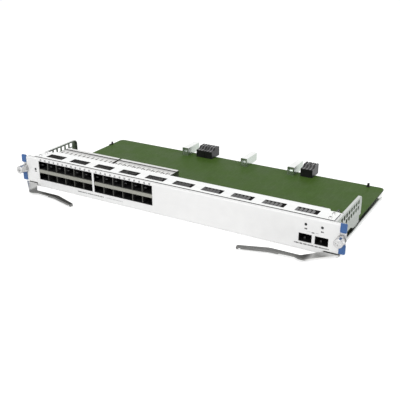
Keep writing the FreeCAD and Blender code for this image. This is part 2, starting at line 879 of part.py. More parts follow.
def backplane_connector(x, width, height):
    """Right-angle connector: low land in front, raised ribbed rear, and mating slots in its rear face."""
    half = width / 2
    low = board_top + height
    high = low + connector_rise
    step = connector_front + connector_land
    section = [
        (connector_front, board_top), (connector_rear, board_top), (connector_rear, high - 0.8),
        (connector_rear - 0.8, high), (step + connector_rise, high), (step, low),
        (connector_front + 0.4, low),
        (connector_front, low - 0.4),
    ]
    body = side_prism(section, [0] * len(section), x - half, x + half)
    cuts = []
    pitch = width / rib_count
    for i in range(rib_count):
        middle = x + (i - (rib_count - 1) / 2) * pitch
        groove = rib_groove / 2
        cuts.append(block(
            middle - groove, middle + groove, step + connector_rise, connector_rear + 1,
            high - rib_groove_depth, high + 1,
        ))
    clear = high - rib_groove_depth - board_top - mating_margin
    slot_pitch_z = clear / mating_slots
    for i in range(mating_slots):
        z = board_top + mating_margin / 2 + (i + 0.5) * slot_pitch_z
        cuts.append(block(
            x - half + mating_margin, x + half - mating_margin, connector_rear - mating_depth,
            connector_rear + 1, z - mating_slot / 2, z + mating_slot / 2,
        ))
    return body.cut(cuts)


def board_post():
    """Small locating post near the rear edge, on a square foot."""
    foot = post_radius + 0.6
    base = block(post_x - foot, post_x + foot, post_y - foot, post_y + foot, board_top, board_top + 0.6)
    stem = plan_prism(regular(post_x, post_y, post_radius, 8), [0] * 8, board_top, board_top + post_height)
    return fuse([base, stem])


def edge_clip():
    """Clip that grips the board's left edge, with an upright finger at its rear end."""
    edge = -board_half
    wall = edge_clip_wall
    front = edge_clip_y
    rear = front + edge_clip_length
    grip = block(edge - wall, edge + edge_clip_hold, front, rear, board_bottom - wall, board_top + wall)
    slot = block(edge, edge + edge_clip_hold + 1, front - 1, rear + 1, board_bottom, board_top)
    finger_top = board_top + wall + edge_finger_height
    finger = block(edge - wall, edge + wall, rear - edge_finger, rear, board_top + wall, finger_top)
    return fuse([grip.cut(slot), finger])


def make_card():
    """Builds every piece and writes it to its own file."""
    os.makedirs("parts", exist_ok=True)
    save("front_panel", front_panel())
    save("vent_shelf", vent_shelf())
    save("shelf_screws", shelf_screws())
    save("seam_gasket", seam_gasket())
    save_pair("side_plate", side_plate())
    save_pair("ear_bracket", ear_bracket())
    save_pair("ear_cover_lower", ear_cover(ear_bottom, cover_split_low))
    save_pair("ear_cover_upper", ear_cover(cover_split_high, ear_top))
    save_pair("ferrule", ferrule())
    save_pair("thumbscrew", thumbscrew())
    save_pair("screw_clip", screw_clip())
    save_pair("screw_spring", screw_spring())
    save_pair("lever", lever())
    save_pair("lever_pin", lever_pin())
    save("bottom_tray", bottom_tray())
    save("board_standoffs", board_standoffs())
    save("main_board", main_board())
    for letter, x in zip("ab", cage_x):
        save(f"port_cage_{letter}", port_cage(x))
        save(f"cage_rear_cover_{letter}", cage_rear_cover(x))
        save(f"cage_base_{letter}", cage_base(x))
        save(f"row_separator_{letter}", row_separator(x))
        save(f"cage_dividers_{letter}", cage_dividers(x))
        save(f"host_sockets_{letter}", host_sockets(x))
    for letter, x in zip("ab", uplink_x):
        save(f"uplink_cage_{letter}", uplink_cage(x))
    save("uplink_sockets", uplink_sockets())
    save("light_pipes", light_pipes())
    for letter, x in zip("abc", guide_x):
        save(f"guide_block_{letter}", guide_block(x))
    for letter, x in zip("ab", pair_x):
        save(f"backplane_connector_{letter}", backplane_connector(x, pair_width, pair_height))
    save("backplane_connector_c", backplane_connector(wide_x, wide_width, wide_height))
    save("board_post", board_post())
    save("edge_clip", edge_clip())


make_card()
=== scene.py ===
"""Looks of the switch line card: a finish for every piece, and the small parts its solids leave out.

Metres. X runs along the front panel, Y into the card, Z up, as in the frame.
"""

import math

import bmesh
import bpy
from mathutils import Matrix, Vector


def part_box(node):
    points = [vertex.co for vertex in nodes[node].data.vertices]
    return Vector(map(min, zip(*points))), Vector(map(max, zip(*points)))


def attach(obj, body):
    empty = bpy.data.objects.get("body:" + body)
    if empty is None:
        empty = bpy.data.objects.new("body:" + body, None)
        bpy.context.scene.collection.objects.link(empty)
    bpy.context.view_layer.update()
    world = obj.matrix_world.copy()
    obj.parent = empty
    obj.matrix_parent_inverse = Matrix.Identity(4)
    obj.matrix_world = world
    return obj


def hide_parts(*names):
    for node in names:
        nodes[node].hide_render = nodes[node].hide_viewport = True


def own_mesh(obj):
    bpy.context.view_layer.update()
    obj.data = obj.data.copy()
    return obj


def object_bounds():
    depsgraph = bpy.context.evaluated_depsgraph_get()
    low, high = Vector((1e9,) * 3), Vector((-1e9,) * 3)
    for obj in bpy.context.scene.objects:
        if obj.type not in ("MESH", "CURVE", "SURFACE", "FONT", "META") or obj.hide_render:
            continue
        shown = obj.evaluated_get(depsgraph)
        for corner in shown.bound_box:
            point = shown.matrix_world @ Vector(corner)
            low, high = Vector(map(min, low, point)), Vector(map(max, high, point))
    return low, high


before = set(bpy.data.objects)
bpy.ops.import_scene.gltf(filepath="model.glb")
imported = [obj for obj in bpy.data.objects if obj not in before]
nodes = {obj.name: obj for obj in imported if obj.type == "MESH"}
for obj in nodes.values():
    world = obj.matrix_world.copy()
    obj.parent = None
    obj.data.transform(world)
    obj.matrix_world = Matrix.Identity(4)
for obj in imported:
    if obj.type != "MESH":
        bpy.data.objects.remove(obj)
cad_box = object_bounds()

mm = 0.001
sides = ("left", "right")

# Sizes and places of the solids that no box gives
columns = 6
cage_wall = 0.3 * mm
divider = 0.6 * mm
cage_hole_y = 43.0 * mm
shelf_rear = 28.0 * mm
seam_front = 5.4 * mm
vents = 10
vent_pitch = 38.13 * mm
vent_left = -187.085 * mm
vent_width = 25.8 * mm
vent_front = 11.2 * mm
vent_rear = 22.6 * mm
uplink_lamp_z = 30.1 * mm
status_x = -196.4 * mm
status_z = 23.0 * mm

# Places taken from the frame's own pieces
panel_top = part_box("front_panel")[1].z
cage_lap_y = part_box("cage_rear_cover_a")[0].y
port_middles = []
for letter in "ab":
    low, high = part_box(f"port_cage_{letter}")
    port_pitch = (high.x - low.x - 2 * cage_wall + divider) / columns
    port_middles.append([
        low.x + cage_wall + (i + 0.5) * port_pitch - divider / 2 for i in range(columns)
    ])
column_middles = port_middles[0] + port_middles[1]
uplink_middles = [sum(end.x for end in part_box(f"uplink_cage_{letter}")) / 2 for letter in "ab"]


# Helpers for node trees


def feed(tree, socket, value):
    """Links a socket to another one, or gives it a fixed value."""
    if isinstance(value, bpy.types.NodeSocket):
        tree.links.new(value, socket)
    else:
        socket.default_value = value


def add(tree, kind, options=None, **values):
    """Adds a node. The options are its settings, and the values go to its inputs, with _ for a space."""
    node = tree.nodes.new(kind)
    for name, value in (options or {}).items():
        setattr(node, name, value)
    for name, value in values.items():
        feed(tree, node.inputs[name.replace("_", " ")], value)
    return node


def blank_tree(owner):
    """The node tree of a material or a world, emptied."""
    owner.use_nodes = True
    owner.node_tree.nodes.clear()
    return owner.node_tree


def effect(tree, group, **values):
    """Places a shared effect with its own values, and returns what it puts out."""
    return add(tree, "ShaderNodeGroup", {"node_tree": group}, **values).outputs


def calc(tree, operation, first, second=0.0, clamp=False):
    """One step of arithmetic."""
    node = add(tree, "ShaderNodeMath", {"operation": operation, "use_clamp": clamp})
    feed(tree, node.inputs[0], first)
    feed(tree, node.inputs[1], second)
    return node.outputs[0]


def times(tree, first, *others):
    """Values multiplied with each other."""
    for other in others:
        first = calc(tree, "MULTIPLY", first, other)
    return first


def squares(tree, first, second):
    """The squares of two values, added up."""
    return calc(tree, "ADD", times(tree, first, first), times(tree, second, second))


def wave(tree, value, spacing):
    """A wave from -1 to 1 with the spacing given."""
    return calc(tree, "SINE", times(tree, value, 2 * math.pi / spacing))


def ramp(tree, value, low, high, to_low=0.0, to_high=1.0):
    """A value carried smoothly from one range to another, and held at the ends."""
    node = add(tree, "ShaderNodeMapRange", {"interpolation_type": "SMOOTHSTEP"}, Value=value)
    for name, number in (("From Min", low), ("From Max", high), ("To Min", to_low), ("To Max", to_high)):
        feed(tree, node.inputs[name], number)
    return node.outputs[0]


def between(tree, value, low, high):
    """1 inside a range and 0 outside it."""
    return times(tree, calc(tree, "GREATER_THAN", value, low), calc(tree, "LESS_THAN", value, high))


def mix(tree, share, under, over):
    """One colour laid over another. Each is a socket, or its red, green and blue."""
    first_colour = 6
    second_colour = 7
    mixed_colour = 2
    node = add(tree, "ShaderNodeMix", {"data_type": "RGBA"})
    feed(tree, node.inputs[0], share)
    for place, colour in ((first_colour, under), (second_colour, over)):
        feed(tree, node.inputs[place], colour + (1.0,) if isinstance(colour, tuple) else colour)
    return node.outputs[mixed_colour]


def object_place(tree):
    """Coordinates of the piece itself."""
    return add(tree, "ShaderNodeTexCoord").outputs["Object"]


def along_axes(tree):
    """The piece's own coordinates as X, Y and Z."""
    return add(tree, "ShaderNodeSeparateXYZ", Vector=object_place(tree)).outputs


def facing(tree, axis):
    """How far the surface faces along an axis, from -1 to 1."""
    normal = add(tree, "ShaderNodeNewGeometry").outputs["Normal"]
    return add(tree, "ShaderNodeSeparateXYZ", Vector=normal).outputs[axis]


def shader_group(name, inputs, outputs):
    """An empty shader group with named sockets."""
    group = bpy.data.node_groups.new(name, "ShaderNodeTree")
    for label, kind, value in inputs:
        group.interface.new_socket(name=label, in_out="INPUT", socket_type=kind).default_value = value
    for label, kind in outputs:
        group.interface.new_socket(name=label, in_out="OUTPUT", socket_type=kind)
    return group, add(group, "NodeGroupInput").outputs, add(group, "NodeGroupOutput").inputs


# Effects that several finishes share


def make_grain():
    """Uneven tone and fine relief, drawn out along the axis whose stretch is small."""
    group, given, out = shader_group(
        "grain",
        [("Scale", "NodeSocketFloat", 900.0), ("Stretch", "NodeSocketVector", (1.0, 1.0, 1.0)),
         ("Detail", "NodeSocketFloat", 4.0)],
        [("Tone", "NodeSocketFloat"), ("Height", "NodeSocketFloat")],
    )
    drawn = add(group, "ShaderNodeMapping", Vector=object_place(group), Scale=given["Stretch"]).outputs[0]
    broad_scale = times(group, given["Scale"], 0.06)
    broad = add(group, "ShaderNodeTexNoise", Vector=drawn, Scale=broad_scale).outputs[0]
    fine = add(group, "ShaderNodeTexNoise", Vector=drawn, Scale=given["Scale"], Detail=given["Detail"])
    tone = calc(group, "ADD", times(group, broad, 0.6), times(group, fine.outputs[0], 0.4))
    feed(group, out["Tone"], ramp(group, tone, 0.3, 0.7))
    feed(group, out["Height"], fine.outputs[0])
    return group


def make_edge_wear():
    """Mask of edges rubbed bare, broken up by noise."""
    group, given, out = shader_group(
        "edge_wear",
        [("Width", "NodeSocketFloat", 0.4 * mm), ("Amount", "NodeSocketFloat", 0.5),
         ("Patch Scale", "NodeSocketFloat", 260.0)],
        [("Mask", "NodeSocketFloat")],
    )
    flat = add(group, "ShaderNodeNewGeometry").outputs["Normal"]
    rounded = add(group, "ShaderNodeBevel", {"samples": 4}, Radius=given["Width"]).outputs[0]
    turn = add(group, "ShaderNodeVectorMath", {"operation": "DOT_PRODUCT"})
    feed(group, turn.inputs[0], flat)
    feed(group, turn.inputs[1], rounded)
    edge = ramp(group, turn.outputs["Value"], 0.995, 0.9)
    place = object_place(group)
    patches = add(group, "ShaderNodeTexNoise", Vector=place, Scale=given["Patch Scale"], Detail=3.0)
    broken = times(group, edge, ramp(group, patches.outputs[0], 0.38, 0.62))
    feed(group, out["Mask"], calc(group, "MULTIPLY", broken, given["Amount"], clamp=True))
    return group


def make_dust():
    """Mask of thin dust on what faces up."""
    group, given, out = shader_group(
        "settled_dust",
        [("Amount", "NodeSocketFloat", 0.1), ("Scale", "NodeSocketFloat", 60.0)],
        [("Mask", "NodeSocketFloat")],
    )
    cloud = add(group, "ShaderNodeTexNoise", Vector=object_place(group), Scale=given["Scale"], Detail=5.0)
    upward = ramp(group, facing(group, "Z"), 0.4, 1.0)
    lying = times(group, upward, ramp(group, cloud.outputs[0], 0.4, 0.7))
    feed(group, out["Mask"], calc(group, "MULTIPLY", lying, given["Amount"], clamp=True))
    return group


def make_port_depth():
    """Mask of painted shade on the sheet inside the ports, black from just behind its front edge."""
    group, given, out = shader_group(
        "port_depth",
        [("Start", "NodeSocketFloat", 0.8 * mm), ("Full", "NodeSocketFloat", 3.0 * mm),
         ("End", "NodeSocketFloat", 34.0 * mm)],
        [("Mask", "NodeSocketFloat")],
    )
    fade = 2.0 * mm
    depth = along_axes(group)["Y"]
    inside = ramp(group, depth, given["Start"], given["Full"])
    past = ramp(group, depth, given["End"], calc(group, "ADD", given["End"], fade))
    feed(group, out["Mask"], calc(group, "SUBTRACT", inside, past, clamp=True))
    return group


def make_print_bar():
    """Mask of a plain printed bar on the panel's face, broken into uneven strokes."""
    group, given, out = shader_group(
        "print_bar",
        [("Left", "NodeSocketFloat", 0.0), ("Right", "NodeSocketFloat", 10.0 * mm),
         ("Bottom", "NodeSocketFloat", 0.0), ("Top", "NodeSocketFloat", 1.0 * mm),
         ("Strokes", "NodeSocketFloat", 420.0)],
        [("Mask", "NodeSocketFloat")],
    )
    face = 0.1 * mm
    along = along_axes(group)
    bar = times(
        group,
        between(group, along["X"], given["Left"], given["Right"]),
        between(group, along["Z"], given["Bottom"], given["Top"]),
        calc(group, "LESS_THAN", along["Y"], face),
    )
    row = add(group, "ShaderNodeCombineXYZ", X=along["X"]).outputs[0]
    strokes = add(group, "ShaderNodeTexNoise", Vector=row, Scale=given["Strokes"], Detail=2.0).outputs[0]
    feed(group, out["Mask"], times(group, bar, ramp(group, strokes, 0.35, 0.6, 0.3, 1.0)))
    return group


grain_group = make_grain()
wear_group = make_edge_wear()
dust_group = make_dust()
port_shade_group = make_port_depth()
print_group = make_print_bar()


# Finishes


def finish(name, colour, worn, roughness, metallic=0.0, specular=0.5, clear=0.0, rough_spread=0.1,
           grain=900.0, stretch=(1.0, 1.0, 1.0), tone=0.08, relief=0.1, wear=0.4, wear_width=0.3 * mm,
           dust=0.06, pattern=None):
    """A finish with uneven tone, fine relief, rubbed edges and a little dust.

    A pattern redraws its colour before the wear and the dust are laid over it.
    """
    relief_depth = 0.03 * mm
    dust_colour = (0.62, 0.60, 0.56)
    dust_roughness = 0.3
    material = bpy.data.materials.new(name)
    material.diffuse_color = colour + (1.0,)
    tree = blank_tree(material)
    dark = tuple(part * (1.0 - tone) for part in colour)
    light = tuple(min(1.0, part * (1.0 + tone)) for part in colour)
    texture = effect(tree, grain_group, Scale=grain, Stretch=stretch)
    shown = mix(tree, texture["Tone"], dark, light)
    if pattern:
        shown = pattern(tree, shown)
    rubbed = effect(tree, wear_group, Width=wear_width, Amount=wear)["Mask"]
    shown = mix(tree, rubbed, shown, worn)
    dusty = effect(tree, dust_group, Amount=dust)["Mask"]
    shown = mix(tree, dusty, shown, dust_colour)
    spread = rough_spread / 2
    rough = ramp(tree, texture["Tone"], 0.0, 1.0, roughness - spread, roughness + spread)
    rough = calc(tree, "ADD", rough, times(tree, dusty, dust_roughness), clamp=True)
    bump = add(tree, "ShaderNodeBump", Strength=relief, Distance=relief_depth, Height=texture["Height"])
    shader = add(tree, "ShaderNodeBsdfPrincipled", Base_Color=shown, Roughness=rough)
    feed(tree, shader.inputs["Normal"], bump.outputs[0])
    shader.inputs["Metallic"].default_value = metallic
    shader.inputs["Specular IOR Level"].default_value = specular
    shader.inputs["Transmission Weight"].default_value = clear
    tree.links.new(shader.outputs[0], add(tree, "ShaderNodeOutputMaterial").inputs["Surface"])
    return material


# Painted shade: the black of the ports' depths, of the sheet under the shelf and of the cages'
# perforations
port_shade_black = (0.030, 0.030, 0.031)


def port_shade_inside(start=0.8 * mm, full=3.0 * mm):
    """Pattern for sheet that lines the ports: painted shade, black from the depths given."""
    def pattern(tree, shown):
        return mix(tree, effect(tree, port_shade_group, Start=start, Full=full)["Mask"], shown, port_shade_black)
    return pattern


def painted_shade_in_cages(tree, along):
    """Mask of painted shade on the cages' sheet in front, under the shelf, and inside the cages."""
    black = calc(tree, "LESS_THAN", along["Y"], shelf_rear)
    for letter in "ab":
        low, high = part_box(f"port_cage_{letter}")
        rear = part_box(f"cage_rear_cover_{letter}")[1].y
        inside = calc(tree, "LESS_THAN", along["Z"], high.z - cage_wall / 2)
        for axis, start, end in (("X", low.x, high.x), ("Y", low.y - mm, rear)):
            within = between(tree, along[axis], start + cage_wall / 2, end - cage_wall / 2)
            inside = times(tree, inside, within)
        black = calc(tree, "MAXIMUM", black, inside)
    return black


def painted_slot_shade(tree, along):
    """Mask of painted shade in a short pressed slot through each hole in the cages' tops."""
    step = port_pitch / 2
    half_width = 0.85 * mm
    half_length = 4.6 * mm
    from_first = calc(tree, "SUBTRACT", along["X"], port_middles[0][0] - step)
    from_hole = calc(tree, "SUBTRACT", calc(tree, "FLOORED_MODULO", from_first, step), step / 2)
    across = calc(tree, "DIVIDE", from_hole, half_width)
    behind = calc(tree, "DIVIDE", calc(tree, "SUBTRACT", along["Y"], cage_hole_y), half_length)
    return ramp(tree, squares(tree, across, behind), 1.2, 0.7)


def cage_painted_shade(tree, shown):
    """Pattern for the port cages, all painted shade: dark pressed slots, a shaded band at the lap, darker
    side walls with black perforations, and black under the shelf and inside the cages.
    """
    slot_shade_black = (0.04, 0.04, 0.04)
    lap_shade_grey = (0.22, 0.22, 0.22)
    lap_shade_share = 0.5
    wall_shade_grey = (0.17, 0.17, 0.165)
    hole_spacing = 3.2 * mm
    along = along_axes(tree)
    sideways = calc(tree, "ABSOLUTE", facing(tree, "X"))
    shown = mix(tree, painted_slot_shade(tree, along), shown, slot_shade_black)
    # Painted shade in a band just ahead of the lap of the rear cover
    lap = ramp(tree, along["Y"], 47.0 * mm, 51.0 * mm)
    lap = times(tree, lap, calc(tree, "LESS_THAN", along["Y"], cage_lap_y), lap_shade_share)
    shown = mix(tree, lap, shown, lap_shade_grey)
    # Painted shade: faces that look sideways are darker, with black perforations in them
    shown = mix(tree, ramp(tree, sideways, 0.4, 0.6), shown, wall_shade_grey)
    holes = times(tree, wave(tree, along["Y"], hole_spacing), wave(tree, along["Z"], hole_spacing))
    holes = ramp(tree, times(tree, holes, sideways), 0.25, 0.4)
    black = calc(tree, "MAXIMUM", painted_shade_in_cages(tree, along), holes)
    return mix(tree, black, shown, port_shade_black)


def vent_painted_shade(tree, shown):
    """Pattern for the shelf, all painted shade: black on the cut edges under its top skin, and dark
    slats, darker to the left.
    """
    # The black and the dull grey here are painted shade
    black = (0.01, 0.01, 0.01)
    dull = (0.20, 0.20, 0.20)
    shade_black_until = -90.0 * mm
    slat_shade_from = 200.0 * mm
    along = along_axes(tree)
    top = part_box("vent_shelf")[1].z
    # Painted shade: black on every face just under the top skin
    under = ramp(tree, along["Z"], top - 0.02 * mm, top - 0.12 * mm)
    shown = mix(tree, under, shown, black)
    from_left = calc(tree, "FLOORED_MODULO", calc(tree, "SUBTRACT", along["X"], vent_left), vent_pitch)
    slats = times(
        tree,
        calc(tree, "LESS_THAN", from_left, vent_width),
        between(tree, along["Y"], vent_front, vent_rear),
        between(tree, along["X"], vent_left, vent_left + vents * vent_pitch),
        calc(tree, "GREATER_THAN", facing(tree, "Z"), 0.2),
    )
    # Painted shade on the slats' upper faces, black at the left and grey towards the right
    slat_shade_colour = mix(tree, ramp(tree, along["X"], shade_black_until, slat_shade_from), black, dull)
    return mix(tree, slats, shown, slat_shade_colour)


def lathe_rings_and_reflection(tree, shown):
    """Pattern for the knobs: fine rings left by the lathe on the front face, painted dark to stand in for
    dark reflections.
    """
    ring_reflection_grey = (0.22, 0.22, 0.22)
    ring_spacing = 1.1 * mm
    face_depth = 1.5 * mm
    along = along_axes(tree)
    for side in sides:
        low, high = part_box(f"thumbscrew_{side}")
        off_x = calc(tree, "SUBTRACT", along["X"], (low.x + high.x) / 2)
        off_z = calc(tree, "SUBTRACT", along["Z"], (low.z + high.z) / 2)
        apart = calc(tree, "SQRT", squares(tree, off_x, off_z))
        rings = times(
            tree,
            calc(tree, "LESS_THAN", apart, (high.x - low.x) / 2),
            calc(tree, "LESS_THAN", along["Y"], low.y + face_depth),
            ramp(tree, wave(tree, apart, ring_spacing), -0.2, 0.9, 0.15, 0.6),
        )
        shown = mix(tree, rings, shown, ring_reflection_grey)
    return shown


def rib_highlights(tree, shown):
    """Pattern for the backplane connectors: painted highlights, narrow light stripes on the faces that
    look up, which run to the rear.
    """
    rib_highlight_grey = (0.34, 0.34, 0.35)
    rib_highlight_share = 0.7
    rib_spacing = 4.4 * mm
    ribs = ramp(tree, wave(tree, along_axes(tree)["X"], rib_spacing), 0.2, 0.7)
    ribs = times(tree, ramp(tree, facing(tree, "Z"), 0.5, 0.9), ribs, rib_highlight_share)
    return mix(tree, ribs, shown, rib_highlight_grey)


def upright_shade(dull):
    """Pattern for metal: painted shade on the upright faces, in the colour given, which carries a green
    painted reflection of the board.
    """
    def pattern(tree, shown):
        return mix(tree, ramp(tree, facing(tree, "Z"), 0.8, 0.3), shown, dull)
    return pattern


def lighter_root(tree, shown):
    """Pattern for the levers: a dark grip, a lighter root, and a painted shadow near the panel."""
    lighter_steel = (0.66, 0.66, 0.65)
    panel_shadow_black = (0.03, 0.03, 0.03)
    along = along_axes(tree)
    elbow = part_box("lever_right")[1].x - 26 * mm
    # The grip is dark and the root lighter, along X from the elbow
    lighter = ramp(tree, calc(tree, "ABSOLUTE", along["X"]), elbow - 4 * mm, elbow + 3 * mm)
    # Painted shadow: black where the lever runs in under the panel
    panel_shadow = ramp(tree, along["Y"], -1.8 * mm, -0.8 * mm)
    return mix(tree, panel_shadow, mix(tree, lighter, shown, lighter_steel), panel_shadow_black)


def print_and_seam_shadow(tree, shown):
    """Pattern for the panel: small plain grey bars on its face, and a dark painted shadow line along the
    seam.
    """
    ink = (0.03, 0.03, 0.032)
    seam_shadow_grey = (0.10, 0.10, 0.10)
    centre = sum(uplink_middles) / 2
    left_uplink, right_uplink = uplink_middles
    first_port = port_middles[1][0]
    third_port = port_middles[1][2]
    # Where each bar's left and right ends are measured from, its four sides in mm, and its strength
    bars = [(x, x, -1.2, 1.8, 24.4, 26.1, 1.0) for x in uplink_middles]
    bars += [
        (centre, centre, -2.2, 1.0, 21.4, 22.8, 0.95),
        (centre, centre, -7.5, -3.0, 22.2, 22.7, 0.5),
        (centre, centre, 1.8, 6.0, 22.2, 22.7, 0.5),
        (left_uplink, right_uplink, -12.0, 8.6, 6.5, 8.0, 0.9),
        (first_port, first_port, -34.0, 7.0, 5.4, 6.8, 0.8),
        (first_port, third_port, 9.0, 7.0, 5.4, 6.6, 0.35),
        (status_x, status_x, -1.6, 2.0, 19.3, 20.6, 1.0),
        (status_x, status_x, 1.9, 2.9, 9.4, 10.6, 0.8),
    ]
    for start, end, left, right, bottom, top, strength in bars:
        bar = effect(
            tree, print_group, Left=start + left * mm, Right=end + right * mm,
            Bottom=bottom * mm, Top=top * mm,
        )
        shown = mix(tree, times(tree, bar["Mask"], strength), shown, ink)
    along = along_axes(tree)
    # Painted shadow: a dark line on the panel along the seam with the shelf
    lip = times(
        tree,
        between(tree, along["Y"], seam_front - 0.9 * mm, seam_front + 0.1 * mm),
        calc(tree, "GREATER_THAN", along["Z"], panel_top - 2.0 * mm),
    )
    return mix(tree, lip, shown, seam_shadow_grey)


def copper_and_edge_shade(tree, shown):
    """Pattern for the board: faint tracks and plated rings under the solder mask, and its cut side edges
    near black, their own dark colour with painted shade over it.
    """
    track_green = (0.09, 0.17, 0.05)
    track_share = 0.12
    ring_green = (0.14, 0.19, 0.08)
    ring_share = 0.22
    edge_shade_green = (0.009, 0.018, 0.004)
    place = object_place(tree)
    drawn = add(tree, "ShaderNodeMapping", Vector=place, Scale=(1.0, 0.22, 1.0)).outputs[0]
    runs = add(tree, "ShaderNodeTexVoronoi", {"feature": "DISTANCE_TO_EDGE"}, Vector=drawn, Scale=150.0)
    tracks = ramp(tree, runs.outputs[0], 0.09, 0.03)
    cells = add(tree, "ShaderNodeTexVoronoi", Vector=place, Scale=190.0, Randomness=0.35)
    apart = cells.outputs["Distance"]
    rings = times(tree, ramp(tree, apart, 0.16, 0.13), ramp(tree, apart, 0.06, 0.09))
    shown = mix(tree, times(tree, tracks, track_share), shown, track_green)
    shown = mix(tree, times(tree, rings, ring_share), shown, ring_green)
    # Painted shade on the board's side edges, over their own dark colour
    flat = calc(tree, "ABSOLUTE", facing(tree, "Z"))
    return mix(tree, ramp(tree, flat, 0.5, 0.2), shown, edge_shade_green)


panel_paint = finish(
    "panel_powder_coat", (0.86, 0.86, 0.855), (0.55, 0.55, 0.55), 0.5, grain=1400.0, tone=0.02,
    relief=0.25, wear=0.35, wear_width=0.25 * mm, specular=0.35, pattern=print_and_seam_shadow,
)
plated_sheet = finish(
    "plated_sheet", (0.64, 0.65, 0.645), (0.62, 0.62, 0.62), 0.34, metallic=1.0, grain=2200.0,
    stretch=(0.06, 1.0, 1.0), tone=0.04, relief=0.12, wear=0.5,
)
# Its upright faces carry painted shade in a green painted reflection of the board
side_sheet = finish(
    "side_sheet", (0.64, 0.66, 0.64), (0.62, 0.62, 0.62), 0.36, metallic=1.0, grain=2200.0,
    stretch=(1.0, 0.06, 1.0), tone=0.05, relief=0.12, wear=0.5, pattern=upright_shade((0.31, 0.335, 0.31)),
)
ear_sheet = finish(
    "ear_sheet", (0.84, 0.84, 0.84), (0.6, 0.6, 0.6), 0.5, metallic=0.2, grain=2200.0, tone=0.03,
    wear=0.4, wear_width=0.2 * mm,
)
shelf_sheet = finish(
    "shelf_sheet", (0.95, 0.96, 0.955), (0.62, 0.62, 0.62), 0.36, metallic=1.0, grain=2200.0,
    stretch=(0.06, 1.0, 1.0), tone=0.03, relief=0.12, wear=0.3, pattern=vent_painted_shade,
)
cage_sheet = finish(
    "cage_sheet", (0.77, 0.77, 0.755), (0.5, 0.5, 0.48), 0.34, metallic=1.0, grain=2600.0,
    stretch=(1.0, 0.08, 1.0), tone=0.06, relief=0.1, wear=0.5, wear_width=0.3 * mm, pattern=cage_painted_shade,
)
# Painted shade: the cage base and the uplink cages are black from just in front of their front edge, for
# the dark inside the ports
cage_lining = finish(
    "cage_lining", (0.84, 0.84, 0.81), (0.5, 0.5, 0.48), 0.4, metallic=0.6, grain=2600.0,
    stretch=(1.0, 0.08, 1.0), tone=0.04, wear=0.0, dust=0.0,
    pattern=port_shade_inside(-0.6 * mm, 0.2 * mm),
)
# Painted shade: the row separator coloured much darker than the cage's sheet, for its place between the
# port rows
band_shade = finish(
    "band_nickel", (0.33, 0.33, 0.29), (0.5, 0.5, 0.46), 0.55, metallic=0.3, grain=2000.0,
    stretch=(0.08, 1.0, 1.0), tone=0.06, wear=0.2, wear_width=0.2 * mm, dust=0.0,
    pattern=port_shade_inside(),
)
# Painted shade: the dividers' sheet coloured near black, a shaded copy of the cage's metal
divider_shade = finish(
    "divider_sheet", (0.10, 0.10, 0.09), (0.3, 0.3, 0.28), 0.5, metallic=0.3, grain=2000.0, tone=0.06,
    wear=0.0, dust=0.0, pattern=port_shade_inside(),
)
lever_steel = finish(
    "lever_steel", (0.17, 0.17, 0.165), (0.42, 0.42, 0.41), 0.38, metallic=1.0, grain=1800.0,
    stretch=(0.08, 1.0, 1.0), tone=0.14, relief=0.2, wear=0.5, wear_width=0.3 * mm, rough_spread=0.16,
    dust=0.0, pattern=lighter_root,
)
turned_steel = finish(
    "turned_steel", (0.74, 0.74, 0.74), (0.85, 0.85, 0.85), 0.24, metallic=1.0, grain=2400.0,
    stretch=(1.0, 0.1, 1.0), tone=0.08, relief=0.15, wear=0.5, wear_width=0.2 * mm,
)
bush_steel = finish(
    "bush_steel", (0.55, 0.55, 0.55), (0.7, 0.7, 0.7), 0.3, metallic=1.0, grain=2400.0,
    stretch=(1.0, 0.1, 1.0), tone=0.08, wear=0.5, wear_width=0.2 * mm,
)
knob_steel = finish(
    "knob_steel", (0.66, 0.66, 0.66), (0.85, 0.85, 0.85), 0.24, metallic=1.0, grain=2400.0,
    stretch=(1.0, 0.1, 1.0), tone=0.08, relief=0.15, wear=0.5, wear_width=0.2 * mm,
    pattern=lathe_rings_and_reflection,
)
spring_wire = finish(
    "spring_wire", (0.50, 0.50, 0.50), (0.7, 0.7, 0.7), 0.3, metallic=1.0, grain=3000.0, tone=0.1,
    wear=0.0,
)
ear_plastic = finish(
    "ear_plastic", (0.042, 0.118, 0.31), (0.14, 0.24, 0.44), 0.42, grain=1600.0, tone=0.07, relief=0.3,
    wear=0.5, wear_width=0.35 * mm, specular=0.4,
)
foam = finish(
    "conductive_foam", (0.035, 0.035, 0.035), (0.12, 0.12, 0.12), 0.9, grain=3200.0, tone=0.3,
    relief=0.6, wear=0.0, specular=0.2,
)
board_laminate = finish(
    "board_laminate", (0.049, 0.101, 0.014), (0.08, 0.11, 0.04), 0.5, grain=700.0, tone=0.07,
    relief=0.12, wear=0.3, wear_width=0.3 * mm, specular=0.1, dust=0.01, pattern=copper_and_edge_shade,
)
socket_plastic = finish(
    "socket_plastic", (0.012, 0.012, 0.013), (0.05, 0.05, 0.05), 0.5, grain=2400.0, tone=0.2,
    relief=0.3, wear=0.2, dust=0.0,
)
connector_plastic = finish(
    "connector_plastic", (0.010, 0.010, 0.011), (0.05, 0.05, 0.05), 0.36, grain=2000.0, tone=0.2,
    relief=0.35, wear=0.5, wear_width=0.3 * mm, dust=0.08, specular=0.3, pattern=rib_highlights,
)
clip_plastic = finish(
    "clip_plastic", (0.010, 0.010, 0.011), (0.05, 0.05, 0.05), 0.4, grain=2000.0, tone=0.2, relief=0.3,
    wear=0.4, dust=0.02, specular=0.3,
)
# Painted shade: black sheets put under the vents where there is only shade
vent_shade_sheet = finish(
    "vent_shade_sheet", (0.010, 0.010, 0.010), (0.03, 0.03, 0.03), 0.9, grain=3200.0, tone=0.3, relief=0.6,
    wear=0.0, dust=0.0, specular=0.1,
)
